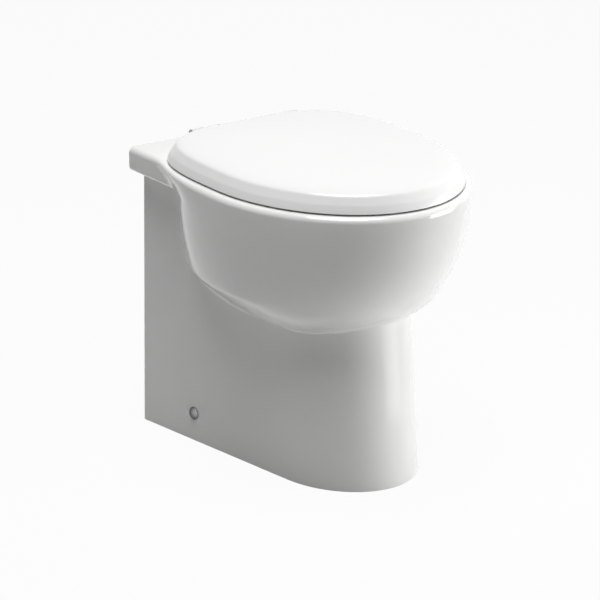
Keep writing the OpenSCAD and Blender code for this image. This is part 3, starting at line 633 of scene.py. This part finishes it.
def addBall(radius, place, sides=40):
    deselectAll()
    bpy.ops.mesh.primitive_uv_sphere_add(segments=sides, ring_count=sides // 2, radius=radius * mm,
                                         location=Vector(place) * mm)
    ball = bpy.context.object
    applyPlace(ball)
    return ball


def addWaterTrap(extra):
    # limb up from the sump, and the crown's elbow
    w = waterway
    limb = addLimb(w["trap"] + extra)
    elbow = addBall(w["trap"] + w["elbowMore"] + extra, (0, wallY - crownFrom, w["outletHeight"]))
    return combine(limb, elbow, "UNION")


def addPipe(radius, start, length, height):
    # level round that starts at its distance from the wall and runs to the front
    return addRound(radius, length, (0, wallY - start, height), fromWall)


def hollowRing(z):
    corner = math.pi - math.atan((plinthHalf - pan["sideLean"] * z - pan["wall"]) / (pan["widest"] + past))
    return outlineRing(z, halfTurns(corner, plainTurns), lambda s, c: plinthReach(s, c, z, pan["wall"]))


def addHollow():
    w, wall = waterway, pan["wall"]
    heights = (-past, 50, 100, 150, pan["noseTop"], 260, 320, rimRoof)
    hollow = loftRings("hollow", [hollowRing(z) for z in heights])
    combine(hollow, loftRings("bowlWall", [bowlRing(row, wall, wall if k == 0 else wall * pan["wallDrop"])
                                           for k, row in enumerate(easePath(bowlRows, 4))]))
    combine(hollow, addWaterTrap(wall - w["chinaLess"]))
    bossFrom = w["outletFrom"] + w["spigot"] - w["bossLap"]
    combine(hollow, addPipe(w["outlet"] + w["bossMore"], bossFrom, crownFrom - w["bossEnd"] - bossFrom,
                            w["outletHeight"]))
    combine(hollow, addPipe(w["inlet"] + w["inletWall"], w["inletFrom"], pan["mouthBack"] - w["inletFrom"],
                            w["inletHeight"]))
    stop = wallY - pan["widest"] + wallBack + wall
    return combine(hollow, addBlock((-trim["half"], stop - trim["deep"], pan["weir"] + w["aboveWeir"]),
                                    (trim["half"], stop, trim["top"])))


def buildPan():
    w, f, wall = waterway, fixings, pan["wall"]
    outletZ, inletZ = w["outletHeight"], w["inletHeight"]
    casting = loftRings("panCasting", panSkin())
    giveFinish(casting, glazedChina, rawChina)
    hollow = addHollow()
    giveFinish(hollow, glazedChina, rawChina)
    for face in hollow.data.polygons:
        face.material_index = 1
    combine(casting, hollow)
    combine(casting, addWaterTrap(0))
    castFrom = w["outletFrom"] + w["spigot"] + w["castLap"]
    inletBore = pan["mouthBack"] - pan["lipThick"] - w["inletFrom"] + w["inletMore"]
    for radius, start, length, height, kind in (
            (w["outletBore"] + w["castPlay"], castFrom, crownFrom - castFrom, outletZ, "DIFFERENCE"),
            (w["outlet"], w["outletFrom"], w["spigot"], outletZ, "UNION"),
            (w["inlet"] + w["inletWall"], w["inletFrom"], w["inletRun"], inletZ, "UNION"),
            (w["outletBore"], w["outletFrom"] - past, w["spigot"] + w["boreMore"], outletZ, "DIFFERENCE"),
            (w["inlet"], w["inletFrom"] - past, inletBore, inletZ, "DIFFERENCE")):
        combine(casting, addPipe(radius, start, length, height), kind)
    for s in (-1, 1):
        bolt = (s * f["span"] / 2, wallY - f["fromWall"], rimRoof - past)
        combine(casting, addRound(f["boltHole"], pan["shelfThick"] + 2 * past, bolt, sides=40))
        out = Vector((s * math.cos(sideTilt), -math.sin(sideTilt), 0))
        start = Vector((s * sideX, wallY - f["sideFrom"], f["sideHeight"])) - out * (wall + f["sideInto"])
        combine(casting, addRound(f["sideHole"], wall + 2 * f["sideInto"], start,
                                  (0, s * math.pi / 2, -s * sideTilt), sides=32))
    for face in casting.data.polygons:
        middle = face.center / mm
        if middle.z < pan["rawFoot"] or middle.y > wallY - pan["rawBack"]:
            face.material_index = 1
    smoothOver(casting)
    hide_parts("pan")
    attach(casting, "pan")
    print("pan:", len(casting.data.polygons), "faces")


buildPan()


hinge = dict(rise=18, barrel=7.5, sleeve=1.98, lug=24, lugReach=16, lugLap=4, lugOver=1, post=17, gap=0.5,
             plate=16, plateClear=1, lugClear=1.6, shelfClear=0.8)
hingeY, hingeZ = wallY - fixings["fromWall"], pan["height"] + hinge["rise"]
ringBackY = hingeY - hinge["rise"]
seatLugOut = fixings["span"] / 2 - hinge["post"] / 2 - hinge["gap"]
seatLugIn = seatLugOut - hinge["lug"]
lidLugOut = seatLugIn - hinge["gap"]
lidLugIn = lidLugOut - hinge["lug"]
alongX = (0, math.pi / 2, 0)    # +Z turned to +X

lid = dict(gap=2, margin=10.2, frontFrom=457.5, backFrom=36, backRound=3.4, side=22, sideIn=11.6, crown=8.3,
           wall=4, below=1, creasePasses=36, steps=8,
           lowerEdge=((0, 1.2), (0.5, 0.5), (1.5, 0.1)),    # height, inset
           sideRows=((11, 0.75), (18, 0.95)),               # height, share of the side's lean
           crease=(0.6, 0.7),                               # how far below and outside the crease
           crownSteps=((3, 0.18), (10, 0.42), (28, 0.7), (60, 0.9), (110, 1)),    # inset, share of the crown
           crownFlat=(130, 148))
lidLow = pan["height"] + lid["gap"]
lidCrease = lidLow + lid["side"]
evenCount = 90
evenTurns = [math.pi * k / evenCount for k in range(evenCount + 1)]


def lidRing(z, inset, backIn=0):
    half, front = pan["width"] / 2 - lid["margin"] - inset, lid["frontFrom"] - pan["widest"] - inset
    back = pan["widest"] - lid["backFrom"] - inset - backIn
    return outlineRing(z, evenTurns, lambda s, c: egg(s, c, half, front, back, oval, lid["backRound"]))


def lidLean(z):
    return lid["sideIn"] * (z - lidLow) / lid["side"]


def softened(path, passes):
    for _ in range(passes):
        inner = [tuple((a + 2 * b + c) / 4 for a, b, c in zip(*three))
                 for three in zip(path, path[1:], path[2:])]
        path = [path[0]] + inner + [path[-1]]
    return path


def lidProfile(t):
    # (height, inset) at depth t in the wall, up the leaning side, over the crease and up the crown
    side = [(lidLow + h - t / 2, lidLean(lidLow + h) * share + t) for h, share in lid["sideRows"]]
    if t:
        side = [(lidLow - lid["below"], lidLean(lidLow) + t)] + side
    else:
        side = [(lidLow + h, inset) for h, inset in lid["lowerEdge"]] + side
    crown = [(lidCrease + lid["crown"] * share - t, lid["sideIn"] + a + t) for a, share in lid["crownSteps"]]
    crease = (lidCrease - lid["crease"][0] - t, lid["sideIn"] - lid["crease"][1] + t)
    path = easePath(side + [crease] + crown, lid["steps"])
    creaseFrom = lid["steps"] * (len(side) - 2)
    path = path[:creaseFrom] + softened(path[creaseFrom:], lid["creasePasses"])
    return path + [(path[-1][0], inset + t) for inset in lid["crownFlat"]]


def addBarrel(fromX, toX, radius, sides=64):
    return addRound(radius, toX - fromX, (fromX, hingeY, hingeZ), alongX, sides)


def trimBehindHinge(piece):
    # what turns behind the hinge axis stays inside a round that clears the shelf
    half = trim["half"]
    block = addBlock((-half, hingeY, lidLow - trim["below"]), (half, hingeY + half, lidLow + trim["above"]))
    combine(block, addBarrel(-half, half, hinge["rise"] - hinge["shelfClear"], 160))
    return combine(piece, block)


def bothSides(low, high):
    return [(low, high), (-high, -low)]


def buildLid():
    piece = loftRings("lidPanel", [lidRing(z, i) for z, i in lidProfile(0)])
    combine(piece, loftRings("lidInside", [lidRing(z, i) for z, i in lidProfile(lid["wall"])]))
    for a, b in bothSides(lidLugIn, lidLugOut):
        combine(piece, addBarrel(a, b, hinge["barrel"]), "UNION")
        combine(piece, addBlock((a, hingeY - hinge["lugReach"], hingeZ + hinge["lugOver"]),
                                (b, hingeY, lidCrease + hinge["lugOver"])), "UNION")
    trimBehindHinge(piece)
    # notches for the posts and the seat's lugs
    notchOut = fixings["span"] / 2 + hinge["plate"] + hinge["plateClear"] + hinge["gap"] / 2
    notchY = hingeY - hinge["barrel"] - hinge["lugClear"]
    for a, b in bothSides(lidLugOut + hinge["gap"] / 2, notchOut):
        combine(piece, addBlock((a, notchY, lidLow - trim["notchBelow"]),
                                (b, hingeY + trim["half"], lidLow + trim["notchAbove"])))
    for a, b in bothSides(lidLugIn - past, lidLugOut + past):
        combine(piece, addBarrel(a, b, hinge["barrel"] - hinge["sleeve"]))
    giveFinish(piece, lidPlastic)
    smoothOver(piece)
    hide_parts("lid")
    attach(piece, "lid")
    print("lid:", len(piece.data.polygons), "faces")


seat = dict(buffer=5, thick=12.5, clear=2.2, backIn=10, dish=5, holeWidth=222, holeFront=404, holeBack=134,
            holeRound=2.4)
ringLow = pan["height"] + seat["buffer"]
ringHigh = ringLow + seat["thick"]
dishLow = ringHigh - seat["dish"]


def seatOutline(z, inset):
    return lidRing(z, lidLean(z) + lid["wall"] + seat["clear"] + inset, seat["backIn"])


def seatHole(z, out):
    half, front = seat["holeWidth"] / 2 + out, seat["holeFront"] - pan["widest"] + out
    back = pan["widest"] - seat["holeBack"] + out
    return outlineRing(z, evenTurns, lambda s, c: egg(s, c, half, front, back, oval, seat["holeRound"]))


def buildSeat():
    # (height, inset) round the outer edge, and (height, widening) up the hole and over the dished top
    outer = [(ringLow, 4), (ringLow + 0.3, 2), (ringLow + 2, 0.1), (ringHigh - 5, 0.2), (ringHigh - 2.2, 1),
             (ringHigh - 0.6, 3), (ringHigh, 6)]
    hole = [(ringLow - 1, 4), (ringLow, 2.4), (ringLow + 1, 0.9), (ringLow + 2.8, 0.1), (dishLow - 2.6, 0.2),
            (dishLow - 0.9, 1.4), (dishLow, 4), (dishLow + 1.6, 12), (ringHigh - 1.5, 23),
            (ringHigh - 0.35, 32), (ringHigh + 0.05, 38), (ringHigh + 2, 60)]
    body = loftRings("seatRing", [seatOutline(z, i) for z, i in easePath(outer, 4)])
    combine(body, loftRings("seatHole", [seatHole(z, i) for z, i in easePath(hole, 4)]))
    combine(body, addBlock((-trim["half"], ringBackY, ringLow - trim["notchBelow"]),
                           (trim["half"], ringBackY + trim["half"], ringLow + trim["notchAbove"])))
    for a, b in bothSides(seatLugIn, seatLugOut):
        combine(body, addBarrel(a, b, hinge["barrel"]), "UNION")
        combine(body, addBlock((a, ringBackY - hinge["lugLap"], hingeZ - hinge["barrel"]),
                               (b, hingeY, ringHigh)), "UNION")
        combine(body, addBarrel(a - past, b + past, hinge["barrel"] - hinge["sleeve"]))
    giveFinish(body, seatPlastic)
    smoothOver(body)
    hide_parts("seat_ring")
    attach(body, "seat")
    print("seat ring:", len(body.data.polygons), "faces")


buildLid()
buildSeat()


cap = dict(radius=9, height=5.5, roomRadius=7.7, roomHeight=1.5, headRadius=4.7, headHeight=3.6, turns=72,
           rows=22, domeFrom=1.02, domeIn=0.38, tip=0.04, innerTip=0.05)


def sidePlace(s):
    # on the plinth's side s, with +Z pointing out of the china
    return (Matrix.Translation(Vector((s * sideX, wallY - fixings["sideFrom"], fixings["sideHeight"])) * mm)
            @ Matrix.Rotation(-s * sideTilt, 4, "Z") @ Matrix.Rotation(s * math.pi / 2, 4, "Y"))


def capProfile():
    # (radius, height): the room for the screw's head, the small rolled lip, and the pressed dome
    r, h, room, head = cap["radius"], cap["height"], cap["roomRadius"], cap["headRadius"]
    roomTop, headTop = cap["roomHeight"], cap["headHeight"]
    ball = (r * r + h * h) / (2 * h)
    inside = [(cap["innerTip"], headTop), (head - 0.3, headTop), (head, headTop - 0.3),
              (head + 0.1, roomTop + 0.2), (head + 0.4, roomTop), (room - 0.2, roomTop),
              (room, roomTop - 0.2), (room, 0.25)]
    lip = [(room + 0.15, 0.1), (r - 0.25, 0.1), (r - 0.07, 0.18), (r, 0.4), (r - 0.02, 0.7), (r - 0.14, 0.9),
           (r - 0.34, 0.98)]
    first = math.asin((cap["domeFrom"] + ball - h) / ball)
    rises = [first + (math.pi / 2 - first) * k / cap["rows"] for k in range(cap["rows"])]
    dome = [(min(ball * math.cos(a), r - cap["domeIn"]), h - ball + ball * math.sin(a)) for a in rises]
    return inside + lip + dome + [(cap["tip"], h)]


def buildCap(s, name):
    turns = [2 * math.pi * k / cap["turns"] for k in range(cap["turns"])]
    piece = loftRings(name, [[(q * math.cos(t), q * math.sin(t), z) for t in turns] for q, z in capProfile()])
    piece.matrix_world = sidePlace(s)
    applyPlace(piece)
    giveFinish(piece, polishedChrome)
    smoothOver(piece, 40)
    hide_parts("cover_cap_left" if s < 0 else "cover_cap_right")
    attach(piece, "pan")


buildCap(-1, "chromeCapLeft")
buildCap(1, "chromeCapRight")
print("caps: 2")


ease = dict(merge=0.00001, flat=1.5, sharp=38, segments=3, smooth=30)
edgeBreak = {
    "hinge_post": 0.8, "hinge_plate": 0.35, "plate_gasket": 0.15, "hinge_pin": 0.3, "seat_damper": 0.3,
    "seat_bush": 0.3, "lid_damper": 0.3, "lid_bush": 0.3, "seat_bolt": 0.5, "seat_bolt_bush": 0.4,
    "seat_bolt_washer": 0.25, "wing_nut": 0.9, "floor_bracket": 0.5, "side_screw": 0.35, "screw_sleeve": 0.2,
    "seat_buffers": 0.9, "lid_buffers": 0.8}
bodies = frame["record"]["behaviour"]["bodies"]
bodyOf = {name: body for body, members in bodies.items() for name in members}


def easeEdges(name, width):
    # a copy of the node is merged to whole faces, and its edges are bevelled
    piece = bpy.data.objects.new(name + "_eased", nodes[name].data.copy())
    bpy.context.scene.collection.objects.link(piece)
    pickOnly(piece)
    bpy.ops.object.mode_set(mode="EDIT")
    bpy.ops.mesh.select_all(action="SELECT")
    bpy.ops.mesh.remove_doubles(threshold=ease["merge"])
    bpy.ops.mesh.dissolve_limited(angle_limit=math.radians(ease["flat"]))
    bpy.ops.object.mode_set(mode="OBJECT")
    edge = piece.modifiers.new("edge", "BEVEL")
    edge.width, edge.segments = width * mm, ease["segments"]
    edge.limit_method, edge.angle_limit = "ANGLE", math.radians(ease["sharp"])
    bpy.ops.object.modifier_apply(modifier="edge")
    smoothOver(piece, ease["smooth"])
    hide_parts(name)
    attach(piece, bodyOf[name])


for name in sorted(nodes):
    if plainName(name) in edgeBreak:
        easeEdges(name, edgeBreak[plainName(name)])
print("fittings eased")


studio = dict(fill=0.02, floorSize=40, floorTone=0.6, floorGlow=0.95)


def whiteWorld(s):
    # white to the camera and to reflections, a plain grey fill for everything else
    world = bpy.data.worlds.new("studioWorld")
    bpy.context.scene.world = world
    world.use_nodes = True
    tree = world.node_tree
    back = tree.nodes["Background"]
    rays = tree.nodes.new("ShaderNodeLightPath").outputs
    mirrored = addMath(tree, "MAXIMUM", rays["Is Glossy Ray"], rays["Is Transmission Ray"])
    seen = addMath(tree, "MAXIMUM", rays["Is Camera Ray"], mirrored)
    level = addMath(tree, "ADD", s["fill"], addMath(tree, "MULTIPLY", seen, 1 - s["fill"]))
    tree.links.new(level, back.inputs["Strength"])
    back.inputs["Color"].default_value = (1, 1, 1, 1)


def paleFloor(s):
    deselectAll()
    bpy.ops.mesh.primitive_plane_add(size=s["floorSize"], location=(0, 0, 0))
    floor = bpy.context.object
    floor.name = "studioFloor"
    finish = bpy.data.materials.new("floorPaint")
    finish.use_nodes = True
    tree = finish.node_tree
    tree.nodes.clear()
    out = tree.nodes.new("ShaderNodeOutputMaterial")
    paint = tree.nodes.new("ShaderNodeBsdfDiffuse")
    paint.inputs["Color"].default_value = (s["floorTone"],) * 3 + (1,)
    glow = tree.nodes.new("ShaderNodeEmission")
    glow.inputs["Strength"].default_value = 1.0
    rays = tree.nodes.new("ShaderNodeLightPath").outputs
    seen = addMath(tree, "MAXIMUM", rays["Is Camera Ray"], rays["Is Glossy Ray"])
    share = addMath(tree, "MULTIPLY", seen, s["floorGlow"])
    mix = tree.nodes.new("ShaderNodeMixShader")
    tree.links.new(share, mix.inputs[0])
    tree.links.new(paint.outputs[0], mix.inputs[1])
    tree.links.new(glow.outputs[0], mix.inputs[2])
    tree.links.new(mix.outputs[0], out.inputs["Surface"])
    giveFinish(floor, finish)


lampSet = dict(
    # name: place, what it looks at, width, height, watts, spread in degrees
    overhead=((-0.45, -0.35, 2.7), (0, 0, 0.3), 1.5, 1.5, 49, 180),
    topBox=((0, 0, 2.7), (0, 0, 0.3), 0.9, 0.9, 13, 180),
    rightBox=((1.1, -0.85, 0.34), (0, -0.05, 0.22), 0.8, 0.7, 12.7, 180),
    stripBox=((0.287, -0.406, 0.09), (0.02, -0.165, 0.09), 0.27, 0.16, 0.04, 80))


def placeLamp(name, place, target, width, height, watts, spread):
    away = Vector(place) - Vector(target)
    bpy.ops.object.light_add(type="AREA", location=place, rotation=away.to_track_quat("Z", "Y").to_euler())
    lamp = bpy.context.object
    lamp.name = name
    lamp.data.shape = "RECTANGLE"
    lamp.data.size, lamp.data.size_y = width, height
    lamp.data.energy = watts
    lamp.data.spread = math.radians(spread)


whiteWorld(studio)
paleFloor(studio)
for name, values in lampSet.items():
    placeLamp(name, *values)
bpy.context.scene.view_settings.view_transform = "Standard"
print("studio placed")
